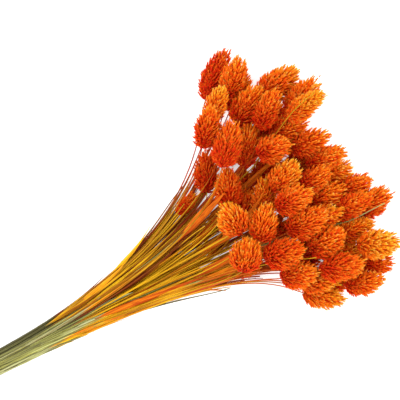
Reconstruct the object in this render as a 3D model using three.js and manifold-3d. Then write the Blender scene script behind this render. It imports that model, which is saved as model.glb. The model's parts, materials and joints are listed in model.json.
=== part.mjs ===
// A bunch of dried canary grass, dyed orange, lying on its side: seed heads of keeled scales on
// straw stems that a band holds together. Millimetres, +Z up, the floor at z = 0, the stems
// along X with the heads at +X, and the origin under the middle of the bunch.
import * as THREE from "three";
import { mergeVertices } from "three/addons/utils/BufferGeometryUtils.js";
import Module from "manifold-3d";

const wasm = await Module();
wasm.setup();

// Scale and direction of the picture that the heads are placed by.
const MM_PER_PIXEL = 0.8;
const STEMS_LEAN = THREE.MathUtils.degToRad(33);
const AXIS_PIXEL = { x: 0, y: 366 };

// The whole bunch.
const FOOT_X = -262;
const FOOT_UNEVEN = 14;
const FOOT_HALF_WIDTH = 23;
const FOOT_HALF_HEIGHT = 8;

// The tie, and the stems pressed together in it.
const TIE_X = -35;
const TIE_Y = 5;
const TIE_HALF_WIDTH = 9.6;
const TIE_HALF_HEIGHT = 8.4;
const TIE_STRAIGHT = 7;
const TIE_ROWS = 8;
const CORE_HALF_LENGTH = 5;
const CORE_SIDES = 20;
const TAIL_DRIFT = 22;
const BAND_TURNS = 3;
const BAND_TURN_WIDTH = 2.4;
const BAND_THICKNESS = 1.4;
const BAND_GROOVE = 0.4;
const BAND_SIDES = 24;
const GAP = 0.3;
const SAME_CORNER = 1e-4;

// Stems: three-sided straws, thinner towards the head.
const STEM_RADIUS = 0.98;
const NECK_RADIUS = 0.6;
const STEM_SIDES = 3;
const STEM_STEP = 6.2;
const STEM_CLEARANCE = 1.9;
const STEM_LEAVES_OVER = 0.66;
const STEM_ARRIVES_OVER = 0.14;
const STEM_RISES_LAST = 20;
const LOWEST_ARRIVAL = 2;
const LOWEST_SIDE = -45;
const HIGHEST_SIDE = 50;
const STEM_SLOPE = -0.11;
const STEM_TAPERS_FROM = 90;
const STEM_TAPERS_TO = 160;
const STEM_BOW = 1.1;
const BENDING_SWEEPS = 90;
const UNSMOOTHED_SWEEPS = 5;
const BENDING_SHARE = 0.6;
const SMOOTHING_SHARE = 0.5;

// Leaf sheaths that wrap a stem and end in a blade that stands off it.
const BLADE_COUNT = 10;
const BLADE_THICKNESS = 0.8;
const BLADE_WIDTH = [2.8, 4.6];
const BLADE_LENGTH = [50, 95];
const BLADE_START = [0, 75];
const BLADE_STANDS_OFF = 4;
const BLADE_WIDEST_AT = 0.4;
const BLADE_NARROWS = 0.75;
const BLADE_FULLNESS = 2.5;
const BLADE_LEAST_HALF = 0.4;
const BLADES_FROM = 0.55;
const BLADES_ABOVE = -0.5;

// Heads.
const FULL_LENGTH = 45 * MM_PER_PIXEL;
const SMALL_HEAD = 12;
const SOFT_EDGE = 1.08;
const LEAST_COVERED = { length: 33, width: 18 };
const STEEPEST_RISE = THREE.MathUtils.degToRad(20);
const SCALES_AROUND = 6;
const SCALE_ROWS = 7;
const LOWER_SCALE_ROWS = 6;
const SCALE_LIFT = 1.12;
const NOTCH_DEPTH = 0.84;
const TIP_IN_ROW = 0.92;
const NOTCH_IN_ROW = 0.28;
const CROWN_SHARE = 0.965;
const THINNEST_HALF = 0.9;
const WIDEST_AT = 0.42;
const HEAD_FULLNESS = 0.62;
const HEAD_BALLS = 7;
const FIRST_BALL = 0.07;
const LAST_BALL = 0.93;
const FLAT_DEPTH = 1.3;

// The pile of heads: how high each layer lies at the middle of the bunch and at its sides, and
// how much higher its heads near the tie lie than its middle ones.
const PILE_HALF_WIDTH = 118;
const LAYER_AT_SIDES = [5, 7, 14, 22];
const LAYER_AT_MIDDLE = [5, 17, 37, 58];
const LAYER_NEAR_RISE = [0, 0, 5, 9];
const PILE_MIDDLE_X = 262;
const PILE_HALF_LENGTH = 55;
const SETTLING_SWEEPS = 260;
const SPRING_SWEEPS = 170;
const SIDEWAYS_SHARE = 0.35;
const HOLD_IN_PLAN = 0.06;
const HOLD_IN_HEIGHT = 0.03;
const LEAST_SLANT = 0.3;
const LONGEST_PUSH = 2;

const CENTRE_Z = TIE_HALF_HEIGHT + STEM_RADIUS + GAP + BAND_THICKNESS;

// Each head as it lies in the picture: the pixels of its base and tip, and its width in pixels.
const HIDDEN_HEADS = [
  { base: [221, 164], tip: [249, 122], width: 25 },
  { base: [252, 184], tip: [280, 150], width: 21 },
  { base: [254, 246], tip: [294, 224], width: 25 },
  { base: [290, 258], tip: [332, 246], width: 25 },
  { base: [320, 200], tip: [350, 175], width: 20 },
  { base: [318, 292], tip: [358, 276], width: 20 },
  { base: [262, 142], tip: [286, 102], width: 26 },
  { base: [332, 262], tip: [370, 252], width: 20 },
];
const BACK_HEADS = [
  { base: [205, 98], tip: [226, 48], width: 17 },
  { base: [231, 107], tip: [247, 72], width: 18 },
  { base: [277, 146], tip: [305, 130], width: 18 },
  { base: [293, 166], tip: [321, 153], width: 16 },
  { base: [243, 200], tip: [250, 170], width: 18 },
  { base: [241, 217], tip: [252, 188], width: 19 },
  { base: [207, 191], tip: [205, 151], width: 18 },
  { base: [330, 232], tip: [360, 221], width: 18 },
  { base: [177, 214], tip: [196, 193], width: 12 },
  { base: [236, 277], tip: [262, 268], width: 9 },
];
const MIDDLE_HEADS = [
  { base: [228, 98], tip: [241, 57], width: 20 },
  { base: [244, 167], tip: [250, 123], width: 18 },
  { base: [258, 99], tip: [298, 67], width: 26 },
  { base: [238, 124], tip: [260, 88], width: 26 },
  { base: [288, 112], tip: [318, 78], width: 23 },
  { base: [280, 134], tip: [309, 116], width: 18 },
  { base: [296, 153], tip: [331, 138], width: 19 },
  { base: [317, 161], tip: [344, 149], width: 15 },
  { base: [318, 178], tip: [353, 166], width: 21 },
  { base: [303, 190], tip: [331, 170], width: 18 },
  { base: [263, 206], tip: [266, 176], width: 18 },
  { base: [229, 197], tip: [227, 168], width: 23 },
  { base: [313, 224], tip: [342, 209], width: 18 },
  { base: [309, 207], tip: [346, 188], width: 22 },
  { base: [336, 209], tip: [367, 190], width: 19 },
  { base: [343, 195], tip: [371, 181], width: 18 },
  { base: [353, 214], tip: [387, 190], width: 24 },
  { base: [345, 238], tip: [374, 226], width: 17 },
  { base: [362, 266], tip: [394, 263], width: 17 },
  { base: [300, 285], tip: [341, 279], width: 18 },
  { base: [307, 292], tip: [345, 298], width: 18 },
  { base: [337, 259], tip: [364, 243], width: 17 },
];
const FRONT_HEADS = [
  { base: [210, 122], tip: [222, 88], width: 18 },
  { base: [203, 149], tip: [214, 108], width: 21 },
  { base: [221, 167], tip: [231, 121], width: 24 },
  { base: [259, 129], tip: [275, 91], width: 20 },
  { base: [287, 121], tip: [322, 95], width: 19 },
  { base: [258, 156], tip: [289, 142], width: 23 },
  { base: [274, 193], tip: [296, 164], width: 24 },
  { base: [275, 209], tip: [309, 191], width: 23 },
  { base: [241, 232], tip: [222, 205], width: 25 },
  { base: [260, 240], tip: [267, 204], width: 23 },
  { base: [243, 269], tip: [248, 237], width: 27 },
  { base: [287, 231], tip: [325, 211], width: 26 },
  { base: [311, 253], tip: [343, 232], width: 27 },
  { base: [266, 261], tip: [303, 247], width: 27 },
  { base: [357, 246], tip: [398, 242], width: 25 },
  { base: [318, 269], tip: [361, 262], width: 23 },
  { base: [346, 287], tip: [384, 279], width: 21 },
  { base: [280, 277], tip: [316, 269], width: 24 },
];

// Bare straws that end between or past the heads: the pixel where each one ends, and its height.
const BARE_STRAWS = [
  { end: [312, 95], z: 70 },
  { end: [384, 203], z: 46 },
  { end: [315, 257], z: 58 },
  { end: [187, 182], z: 20 },
  { end: [230, 290], z: 12 },
  { end: [205, 226], z: 38 },
];

const MATERIALS = {
  head: new THREE.MeshStandardMaterial({ color: 0xe2540f, roughness: 0.9, metalness: 0 }),
  stems: new THREE.MeshStandardMaterial({ color: 0xc98a1c, roughness: 0.75, metalness: 0 }),
  band: new THREE.MeshStandardMaterial({ color: 0xc9a877, roughness: 0.7, metalness: 0 }),
};

// Seeded random numbers from 0 to 1, the same on each run.
function randomStream(seed) {
  let state = seed >>> 0;
  return () => {
    state = (Math.imul(state, 1664525) + 1013904223) >>> 0;
    return state / 4294967296;
  };
}

// The place on the floor under a pixel of the picture.
function floorPoint([x, y]) {
  const across = (x - AXIS_PIXEL.x) * MM_PER_PIXEL;
  const up = (AXIS_PIXEL.y - y) * MM_PER_PIXEL;
  return new THREE.Vector3(
    across * Math.cos(STEMS_LEAN) + up * Math.sin(STEMS_LEAN),
    -across * Math.sin(STEMS_LEAN) + up * Math.cos(STEMS_LEAN),
    0,
  );
}

function solidOf(geometry) {
  const bare = geometry.index ? geometry.toNonIndexed() : geometry.clone();
  bare.deleteAttribute("normal");
  bare.deleteAttribute("uv");
  const merged = mergeVertices(bare, SAME_CORNER);
  return new wasm.Manifold(
    new wasm.Mesh({
      numProp: 3,
      vertProperties: merged.attributes.position.array,
      triVerts: new Uint32Array(merged.index.array),
    }),
  );
}

function geometryOf(solid) {
  const mesh = solid.getMesh();
  const geometry = new THREE.BufferGeometry();
  geometry.setAttribute("position", new THREE.BufferAttribute(mesh.vertProperties, 3));
  geometry.setIndex(new THREE.BufferAttribute(mesh.triVerts, 1));
  geometry.computeVertexNormals();
  return geometry;
}

// The faces between rings of equally many corners. The corners of a ring run anticlockwise seen
// from the last ring. Where splits turn, every second quad is split the other way.
function sideFaces(ringCount, count, splitsTurn) {
  const faces = [];
  for (let ring = 0; ring < ringCount; ring += 1) {
    for (let side = 0; side < count; side += 1) {
      const a = ring * count + side;
      const b = ring * count + ((side + 1) % count);
      const c = a + count;
      const d = b + count;
      if (splitsTurn && (side + ring) % 2 === 0) faces.push(a, b, c, b, d, c);
      else faces.push(a, b, d, a, d, c);
    }
  }
  return faces;
}

// A closed skin over a row of rings, with a fan of faces to a point at each end.
function skin(rings, startPoint, endPoint, splitsTurn = false) {
  const count = rings[0].length;
  const last = (rings.length - 1) * count;
  const corners = [...rings.flat(), startPoint, endPoint];
  const start = corners.length - 2;
  const end = corners.length - 1;
  const faces = sideFaces(rings.length - 1, count, splitsTurn);
  for (let side = 0; side < count; side += 1) {
    const next = (side + 1) % count;
    faces.push(start, next, side, end, last + side, last + next);
  }
  const geometry = new THREE.BufferGeometry().setFromPoints(corners);
  geometry.setIndex(faces);
  return geometry;
}

// A closed skin over rings that run round and meet themselves, as on a band.
function hoop(rings) {
  const count = rings[0].length;
  const corners = rings.flat();
  const faces = sideFaces(rings.length, count, false).map((corner) => corner % corners.length);
  const geometry = new THREE.BufferGeometry().setFromPoints(corners);
  geometry.setIndex(faces);
  return geometry;
}

// Half the width of a head at a share of its length, as a share of its widest half.
function headOutline(share) {
  const bulge = Math.log(0.5) / Math.log(WIDEST_AT);
  const inside = Math.min(Math.max(share, 0), 1);
  return Math.sin(Math.PI * inside ** bulge) ** HEAD_FULLNESS;
}

// A head along +Z from its base at the origin. Each row of scales is one ring of raised tips
// and sunk notches, half a scale round from the row before, so every tip has a shelf above it.
function headGeometry(length, width, rows) {
  const rings = [];
  const halfWidth = width / 2 / SCALE_LIFT;
  for (let row = 0; row < rows; row += 1) {
    const ring = [];
    for (let step = 0; step < SCALES_AROUND * 2; step += 1) {
      const isTip = (step + row) % 2 === 1;
      const share = (row + (isTip ? TIP_IN_ROW : NOTCH_IN_ROW)) / rows;
      const outline = halfWidth * headOutline(Math.min(share, CROWN_SHARE));
      const radius = Math.max(outline, THINNEST_HALF);
      const lifted = radius * (isTip ? SCALE_LIFT : NOTCH_DEPTH);
      const angle = (step * Math.PI) / SCALES_AROUND;
      ring.push(
        new THREE.Vector3(lifted * Math.cos(angle), lifted * Math.sin(angle), share * length),
      );
    }
    rings.push(ring);
  }
  const base = new THREE.Vector3(0, 0, 0);
  const tip = new THREE.Vector3(0, 0, length);
  return skin(rings, base, tip, true);
}

// The balls that fill a head, at heights over its base along its own axis.
function headBalls(head) {
  const balls = [];
  for (let step = 0; step < HEAD_BALLS; step += 1) {
    const share = THREE.MathUtils.lerp(FIRST_BALL, LAST_BALL, step / (HEAD_BALLS - 1));
    balls.push({
      centre: head.base.clone().addScaledVector(head.axis, share * head.length),
      radius: (head.width / 2) * headOutline(share),
    });
  }
  return balls;
}

// Moves two heads apart where their balls meet, more up and down than sideways.
function pushApart(lower, upper) {
  let deepest = 0;
  const push = new THREE.Vector3();
  for (const mine of upper.balls) {
    for (const theirs of lower.balls) {
      const reach = mine.radius + theirs.radius + GAP;
      const away = mine.centre.clone().sub(theirs.centre);
      const depth = reach - away.length();
      if (depth > deepest) {
        deepest = depth;
        push.copy(away);
      }
    }
  }
  if (deepest === 0) return;
  const straight = push.clone().normalize();
  push.set(push.x * SIDEWAYS_SHARE, push.y * SIDEWAYS_SHARE, push.z || 1).normalize();
  const slanted = deepest / Math.max(push.dot(straight), LEAST_SLANT);
  push.multiplyScalar(Math.min(slanted, LONGEST_PUSH) / 2);
  moveHead(upper, push);
  moveHead(lower, push.negate());
}

function moveHead(head, step) {
  head.base.add(step);
  for (const ball of head.balls) ball.centre.add(step);
}

function liftToFloor(head) {
  const lowest = Math.min(...head.balls.map((ball) => ball.centre.z - ball.radius));
  if (lowest < -FLAT_DEPTH) moveHead(head, new THREE.Vector3(0, 0, -FLAT_DEPTH - lowest));
}

// A head over its place in the picture, at the height of its layer, and a little wider than its
// full colour, as its outermost tips are thin. One that lies under others shows only in part, so
// it gets at least a usual size, longer at its base.
function layHead({ base, tip, width: pixels }, layer) {
  const from = floorPoint(base);
  const to = floorPoint(tip);
  const width = pixels * MM_PER_PIXEL * SOFT_EDGE;
  const isSmall = width < SMALL_HEAD;
  const isCovered = layer > 0 && layer < 3 && !isSmall;
  if (isCovered) {
    const reach = Math.max(from.distanceTo(to), LEAST_COVERED.length);
    from.sub(to).setLength(reach).add(to);
  }
  const fullWidth = Math.max(width, isCovered ? LEAST_COVERED.width : 0);
  const seen = from.distanceTo(to);
  const full = isSmall ? seen : Math.max(seen, FULL_LENGTH);
  const rise = layer === 0 ? 0 : Math.min(Math.acos(seen / full), STEEPEST_RISE);
  const middle = from.clone().add(to).divideScalar(2);
  const crown = Math.sqrt(Math.max(1 - (middle.y / PILE_HALF_WIDTH) ** 2, 0));
  const near = (PILE_MIDDLE_X - middle.x) / PILE_HALF_LENGTH;
  const height =
    THREE.MathUtils.lerp(LAYER_AT_SIDES[layer], LAYER_AT_MIDDLE[layer], crown) +
    LAYER_NEAR_RISE[layer] * near;
  const axis = to.sub(from).normalize().multiplyScalar(Math.cos(rise));
  axis.z = Math.sin(rise);
  const length = seen / Math.cos(rise);
  from.z = height - (length / 2) * axis.z;
  const rows = layer < 2 ? LOWER_SCALE_ROWS : SCALE_ROWS;
  const head = { base: from, axis, length, width: fullWidth, rows };
  head.balls = headBalls(head);
  head.home = from.clone();
  return head;
}

// Lays every head at its place and lets the pile settle until no two heads touch.
function placeHeads() {
  const layers = [HIDDEN_HEADS, BACK_HEADS, MIDDLE_HEADS, FRONT_HEADS];
  const laid = layers.flatMap((layer, level) => layer.map((head) => layHead(head, level)));
  for (let sweep = 0; sweep < SETTLING_SWEEPS; sweep += 1) {
    laid.forEach((lower, index) => {
      for (const upper of laid.slice(index + 1)) pushApart(lower, upper);
    });
    for (const head of laid) {
      if (sweep < SPRING_SWEEPS) {
        const back = head.home.clone().sub(head.base);
        back.x *= HOLD_IN_PLAN;
        back.y *= HOLD_IN_PLAN;
        back.z *= HOLD_IN_HEIGHT;
        moveHead(head, back);
      }
      liftToFloor(head);
    }
  }
  return laid;
}

// Half the width of the pressed stems at a height in the tie.
function tieHalfWidth(height) {
  return TIE_HALF_WIDTH * Math.sqrt(1 - (height / TIE_HALF_HEIGHT) ** 2);
}

// Rows of places for the stems in the tie, from low to high, each row from one side to the other.
function tieRows(stemCount) {
  const heights = Array.from(
    { length: TIE_ROWS },
    (_, row) => ((2 * row + 1) / TIE_ROWS - 1) * TIE_HALF_HEIGHT,
  );
  const widths = heights.map(tieHalfWidth);
  const whole = widths.reduce((sum, width) => sum + width, 0);
  let reached = 0;
  let filled = 0;
  return heights.map((height, row) => {
    reached += widths[row];
    const count = Math.round((stemCount * reached) / whole) - filled;
    filled += count;
    return Array.from({ length: count }, (_, place) => ({
      y: widths[row] * ((2 * place + 1) / count - 1),
      z: height,
    }));
  });
}

// A smooth way from the tie to where a stem ends. It keeps to the bunch for most of its length,
// then turns to the head and comes up to it from below. Stems to the heads at the right side
// stay under the pile for longer.
function fanPoints(slot, end, direction) {
  const start = new THREE.Vector3(TIE_X + TIE_STRAIGHT, TIE_Y + slot.y, CENTRE_Z + slot.z);
  const reach = start.distanceTo(end);
  const leave = new THREE.Vector3(1, STEM_SLOPE, 0).multiplyScalar(reach * STEM_LEAVES_OVER);
  leave.add(start);
  const arrive = direction.clone().multiplyScalar(-reach * STEM_ARRIVES_OVER).add(end);
  arrive.y = THREE.MathUtils.clamp(arrive.y, LOWEST_SIDE, HIGHEST_SIDE);
  arrive.z = Math.max(arrive.z - STEM_RISES_LAST, LOWEST_ARRIVAL);
  const curve = new THREE.CubicBezierCurve3(start, leave, arrive, end);
  return curve.getSpacedPoints(Math.round(curve.getLength() / STEM_STEP));
}

// How far a point has to move to be clear of the heads, square to the stem.
function pushFromHeads(point, along, heads, clearance) {
  const push = new THREE.Vector3();
  for (const head of heads) {
    for (const ball of head.balls) {
      const away = point.clone().sub(ball.centre);
      const depth = ball.radius + clearance - away.length();
      if (depth > 0) {
        away.addScaledVector(along, -away.dot(along)).normalize();
        push.addScaledVector(away, depth);
      }
    }
  }
  const floor = STEM_RADIUS - point.z;
  if (floor > 0) push.z += floor;
  return push;
}

// Bends a stem clear of every head but its own, and spreads each bend along the stem.
function bendClear(points, heads) {
  const last = points.length - 1;
  const bend = points.map(() => new THREE.Vector3());
  for (let sweep = 0; sweep < BENDING_SWEEPS; sweep += 1) {
    for (let step = 1; step < last; step += 1) {
      const here = points[step].clone().add(bend[step]);
      const along = points[step + 1].clone().sub(points[step - 1]).normalize();
      const push = pushFromHeads(here, along, heads, STEM_CLEARANCE);
      bend[step].addScaledVector(push, BENDING_SHARE);
    }
    if (sweep < BENDING_SWEEPS - UNSMOOTHED_SWEEPS) {
      const before = bend.map((step) => step.clone());
      for (let step = 1; step < last; step += 1) {
        const beside = before[step - 1].clone().add(before[step + 1]).divideScalar(2);
        bend[step].lerp(beside, SMOOTHING_SHARE);
      }
    }
  }
  return points.map((point, step) => point.clone().add(bend[step]));
}

// Keeps only the points that a straight piece between them would miss by more than the bow.
function thinned(points) {
  const kept = [points[0]];
  let from = 0;
  for (let to = 2; to < points.length; to += 1) {
    const chord = new THREE.Line3(points[from], points[to]);
    const nearest = new THREE.Vector3();
    const strays = points
      .slice(from + 1, to)
      .map((point) => chord.closestPointToPoint(point, true, nearest).distanceTo(point));
    if (Math.max(...strays) > STEM_BOW) {
      from = to - 1;
      kept.push(points[from]);
    }
  }
  return [...kept, points[points.length - 1]];
}

// Two directions square to a way at each of its points, carried along it without twisting.
function carriedFrames(points) {
  let normal = new THREE.Vector3(0, 0, 1);
  return points.map((point, step) => {
    const before = points[Math.max(step - 1, 0)];
    const after = points[Math.min(step + 1, points.length - 1)];
    const along = after.clone().sub(before).normalize();
    normal = normal.clone().addScaledVector(along, -normal.dot(along)).normalize();
    return { along, normal, side: new THREE.Vector3().crossVectors(along, normal) };
  });
}

function stemRadius(x, endX) {
  const share = THREE.MathUtils.smoothstep(x, STEM_TAPERS_FROM, Math.max(endX, STEM_TAPERS_TO));
  return THREE.MathUtils.lerp(STEM_RADIUS, NECK_RADIUS, share);
}

// A closed straw along a way.
function straw(points, turn) {
  const endX = points[points.length - 1].x;
  const frames = carriedFrames(points);
  const rings = points.map((point, step) => {
    const radius = stemRadius(point.x, endX);
    return Array.from({ length: STEM_SIDES }, (_, side) => {
      const angle = turn + (side * 2 * Math.PI) / STEM_SIDES;
      return point
        .clone()
        .addScaledVector(frames[step].normal, radius * Math.cos(angle))
        .addScaledVector(frames[step].side, radius * Math.sin(angle));
    });
  });
  return skin(rings, points[0], points[points.length - 1]);
}

// A flat closed strip along a way, with its broad faces turned out from the middle of the bunch.
function blade(points, width) {
  const frames = carriedFrames(points);
  const rings = points.map((point, step) => {
    const share = step / (points.length - 1);
    const fromWidest = Math.abs(2 * (share - BLADE_WIDEST_AT));
    const half = (width / 2) * (1 - BLADE_NARROWS * fromWidest ** BLADE_FULLNESS);
    const middle = new THREE.Vector3(point.x, TIE_Y, CENTRE_Z);
    const out = point.clone().sub(middle);
    out.addScaledVector(frames[step].along, -out.dot(frames[step].along)).normalize();
    const across = new THREE.Vector3().crossVectors(out, frames[step].along);
    return [[1, 1], [-1, 1], [-1, -1], [1, -1]].map(([sideways, outward]) =>
      point
        .clone()
        .addScaledVector(across, sideways * Math.max(half, BLADE_LEAST_HALF))
        .addScaledVector(out, (outward * BLADE_THICKNESS) / 2),
    );
  });
  return skin(rings, points[0], points[points.length - 1]);
}

// Where each stem ends and in which direction, with how far it leans to the side and upwards.
function stemEnds(heads) {
  const ends = heads.map((head) => ({
    end: head.base.clone().addScaledVector(head.axis, -GAP),
    direction: head.axis,
    others: heads.filter((other) => other !== head),
  }));
  const tie = new THREE.Vector3(TIE_X, TIE_Y, CENTRE_Z);
  for (const { end, z } of BARE_STRAWS) {
    const point = floorPoint(end).setZ(z);
    ends.push({ end: point, direction: point.clone().sub(tie).normalize(), others: heads });
  }
  for (const stem of ends) {
    const way = fanPoints({ y: 0, z: 0 }, stem.end, stem.direction);
    const half = way[Math.floor(way.length / 2)].clone().sub(tie);
    stem.lean = { y: half.y / half.x, z: half.z / half.x };
  }
  return ends;
}

// The whole way of each stem, from its cut foot through the tie to its head. Stems that lean
// alike lie side by side in the tie, so few of them cross.
function stemWays(heads) {
  const ends = stemEnds(heads).sort((a, b) => a.lean.z - b.lean.z);
  const random = randomStream(7);
  return tieRows(ends.length).flatMap((row) => {
    const stems = ends.splice(0, row.length).sort((a, b) => a.lean.y - b.lean.y);
    return stems.map(({ end, direction, others }, place) => {
      const slot = row[place];
      const foot = new THREE.Vector3(
        FOOT_X + FOOT_UNEVEN * random() ** 2,
        TIE_Y + TAIL_DRIFT + (slot.y * FOOT_HALF_WIDTH) / TIE_HALF_WIDTH,
        CENTRE_Z + (slot.z * FOOT_HALF_HEIGHT) / TIE_HALF_HEIGHT,
      );
      const into = new THREE.Vector3(TIE_X - TIE_STRAIGHT, TIE_Y + slot.y, CENTRE_Z + slot.z);
      const fan = bendClear(fanPoints(slot, end, direction), others);
      return { tail: [foot, into], fan, turn: random() * Math.PI };
    });
  });
}

// Blades on the stems that lie outermost, where they show.
function bladeGeometries(ways) {
  const random = randomStream(23);
  const between = ([low, high]) => low + (high - low) * random();
  const outer = ways.filter(({ fan }) => {
    const sideways = (fan[0].y - TIE_Y) / TIE_HALF_WIDTH;
    const upwards = (fan[0].z - CENTRE_Z) / TIE_HALF_HEIGHT;
    return upwards > BLADES_ABOVE && Math.hypot(sideways, upwards) > BLADES_FROM;
  });
  return Array.from({ length: BLADE_COUNT }, (_, index) => {
    const { fan } = outer[Math.floor(((index + random()) * outer.length) / BLADE_COUNT)];
    const from = between(BLADE_START);
    const to = from + between(BLADE_LENGTH);
    const width = between(BLADE_WIDTH);
    const wrapped = fan.filter((point) => point.x > from && point.x < to);
    const way = wrapped.filter((_, step) => step % 2 === 0);
    const lifted = way.map((point, step) => {
      const share = step / (way.length - 1);
      const out = new THREE.Vector3(0, point.y - TIE_Y, point.z - CENTRE_Z).normalize();
      return point.clone().addScaledVector(out, BLADE_STANDS_OFF * share ** 3);
    });
    return blade(lifted, width);
  });
}

// The stems pressed together in the tie, as one oval plug.
function coreGeometry() {
  const rings = [-CORE_HALF_LENGTH, CORE_HALF_LENGTH].map((x) =>
    Array.from({ length: CORE_SIDES }, (_, side) => {
      const angle = ((side + 0.5) * 2 * Math.PI) / CORE_SIDES;
      return new THREE.Vector3(
        TIE_X + x,
        TIE_Y + TIE_HALF_WIDTH * Math.cos(angle),
        CENTRE_Z + TIE_HALF_HEIGHT * Math.sin(angle),
      );
    }),
  );
  const middle = (x) => new THREE.Vector3(TIE_X + x, TIE_Y, CENTRE_Z);
  return skin(rings, middle(-CORE_HALF_LENGTH), middle(CORE_HALF_LENGTH));
}

// The band: turns side by side round the oval of the stems.
function bandGeometry() {
  const half = (BAND_TURNS * BAND_TURN_WIDTH) / 2;
  const section = [[-half, 0], [half, 0]];
  for (let step = 0; step <= BAND_TURNS * 2; step += 1) {
    const height = step % 2 === 1 ? 1 : BAND_GROOVE;
    section.push([half - (step * BAND_TURN_WIDTH) / 2, height * BAND_THICKNESS]);
  }
  const innerWidth = TIE_HALF_WIDTH + STEM_RADIUS + GAP;
  const innerHeight = TIE_HALF_HEIGHT + STEM_RADIUS + GAP;
  const rings = Array.from({ length: BAND_SIDES }, (_, side) => {
    const angle = (side * 2 * Math.PI) / BAND_SIDES;
    const out = new THREE.Vector2(Math.cos(angle) / innerWidth, Math.sin(angle) / innerHeight);
    out.normalize();
    return section.map(
      ([x, height]) =>
        new THREE.Vector3(
          TIE_X + x,
          TIE_Y + innerWidth * Math.cos(angle) + height * out.x,
          CENTRE_Z + innerHeight * Math.sin(angle) + height * out.y,
        ),
    );
  });
  return hoop(rings);
}

// Cuts off what would sink into the floor, so the lowest heads rest on small flats.
function flattened(geometry, mesh) {
  mesh.updateMatrixWorld(true);
  const lowest = new THREE.Box3().setFromObject(mesh, true).min.z;
  if (lowest >= 0) return geometry;
  const size = 4 * FULL_LENGTH;
  const ground = new THREE.BoxGeometry(size, size, size);
  ground.translate(mesh.position.x, mesh.position.y, -size / 2);
  ground.applyMatrix4(mesh.matrixWorld.clone().invert());
  return geometryOf(solidOf(geometry).subtract(solidOf(ground)));
}

function headMesh(head, index) {
  const geometry = headGeometry(head.length, head.width, head.rows);
  const mesh = new THREE.Mesh(geometry, MATERIALS.head);
  mesh.name = `head_${String(index + 1).padStart(2, "0")}`;
  mesh.quaternion.setFromUnitVectors(new THREE.Vector3(0, 0, 1), head.axis);
  mesh.position.copy(head.base);
  mesh.geometry = flattened(mesh.geometry, mesh);
  return mesh;
}

function stemsMesh(heads) {
  const ways = stemWays(heads);
  const straws = ways.map(({ tail, fan, turn }) => straw([...tail, ...thinned(fan)], turn));
  const pieces = [...straws, ...bladeGeometries(ways)].map(solidOf);
  const solid = pieces.reduce((joined, piece) => joined.add(piece), solidOf(coreGeometry()));
  const mesh = new THREE.Mesh(geometryOf(solid), MATERIALS.stems);
  mesh.name = "stems";
  return mesh;
}

const heads = placeHeads();
const lying = new THREE.Group();
lying.add(...heads.map(headMesh), stemsMesh(heads));
const band = new THREE.Mesh(bandGeometry(), MATERIALS.band);
band.name = "band";
lying.add(band);
lying.updateMatrixWorld(true);

// The origin goes under the middle of the bunch's box.
const middle = new THREE.Box3().setFromObject(lying, true).getCenter(new THREE.Vector3());
lying.position.set(-middle.x, -middle.y, 0);

const bunch = new THREE.Group();
bunch.name = "dried_grass_bunch";
bunch.add(lying);

export default bunch;
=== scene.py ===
import json
import math
import random

import bmesh
import bpy
import numpy as np
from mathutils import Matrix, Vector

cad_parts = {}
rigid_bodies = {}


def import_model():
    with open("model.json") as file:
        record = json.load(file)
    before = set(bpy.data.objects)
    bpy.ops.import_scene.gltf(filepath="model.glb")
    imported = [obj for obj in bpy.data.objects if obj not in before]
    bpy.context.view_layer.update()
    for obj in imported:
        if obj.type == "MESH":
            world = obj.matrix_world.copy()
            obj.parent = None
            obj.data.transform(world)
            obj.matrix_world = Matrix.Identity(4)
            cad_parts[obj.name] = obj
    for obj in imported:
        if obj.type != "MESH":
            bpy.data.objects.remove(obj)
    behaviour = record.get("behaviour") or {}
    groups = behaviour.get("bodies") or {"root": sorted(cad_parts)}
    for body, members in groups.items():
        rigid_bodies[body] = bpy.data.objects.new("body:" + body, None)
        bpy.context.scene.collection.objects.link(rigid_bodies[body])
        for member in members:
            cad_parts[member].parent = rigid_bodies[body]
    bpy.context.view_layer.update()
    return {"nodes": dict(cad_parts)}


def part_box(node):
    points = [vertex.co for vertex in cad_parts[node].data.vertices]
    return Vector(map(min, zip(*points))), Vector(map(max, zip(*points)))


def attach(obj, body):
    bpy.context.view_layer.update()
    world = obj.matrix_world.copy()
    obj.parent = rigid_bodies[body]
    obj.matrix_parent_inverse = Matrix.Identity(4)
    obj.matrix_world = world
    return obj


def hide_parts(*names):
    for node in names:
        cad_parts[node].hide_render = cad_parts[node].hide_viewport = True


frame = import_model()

MM = 0.001
SEED = 11
STEM_SEED = 7

# The picture that the bunch is placed by: its scale, how the stems lie across it, and how high
# the bunch lies on the whole.
MM_PER_PIXEL = 0.8
STEMS_LEAN = math.radians(33)
AXIS_PIXEL = (0, 366)
PICTURE_MIDDLE = (200, 200)
PICTURE_PIXELS = 400
MEAN_HEIGHT = 40

# The tie, from the frame, and the stems pressed together in it.
tie_low, tie_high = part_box("band")
TIE = np.array((tie_low + tie_high) / 2) / MM
TIE_FROM_PICTURE = (-35, 5)
PICTURE_ORIGIN = TIE - (*TIE_FROM_PICTURE, TIE[2])
TIE_HALF_WIDTH = 9.6
TIE_HALF_HEIGHT = 8.4
TIE_STRAIGHT = 7
TIE_ROWS = 8
BAND_TURNS = 3
BAND_TURN_WIDTH = 2.4
BAND_THICKNESS = 1.4
TURN_HALF_SHARE = 0.48
TURN_LEAN = 0.35
RING_SEGMENTS = 72
RING_SIDES = 12
RING_HALF = 0.1

# The gap between pieces that don't touch, and how near the floor pieces start to be pressed flat.
GAP = 0.3
PRESSED_UNDER = 1.2

# The cut feet of the stems.
TAIL_DRIFT = 22
FOOT_FROM_TIE = 227
FOOT_UNEVEN = 14
FOOT_HALF_WIDTH = 23
FOOT_HALF_HEIGHT = 8

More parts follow.
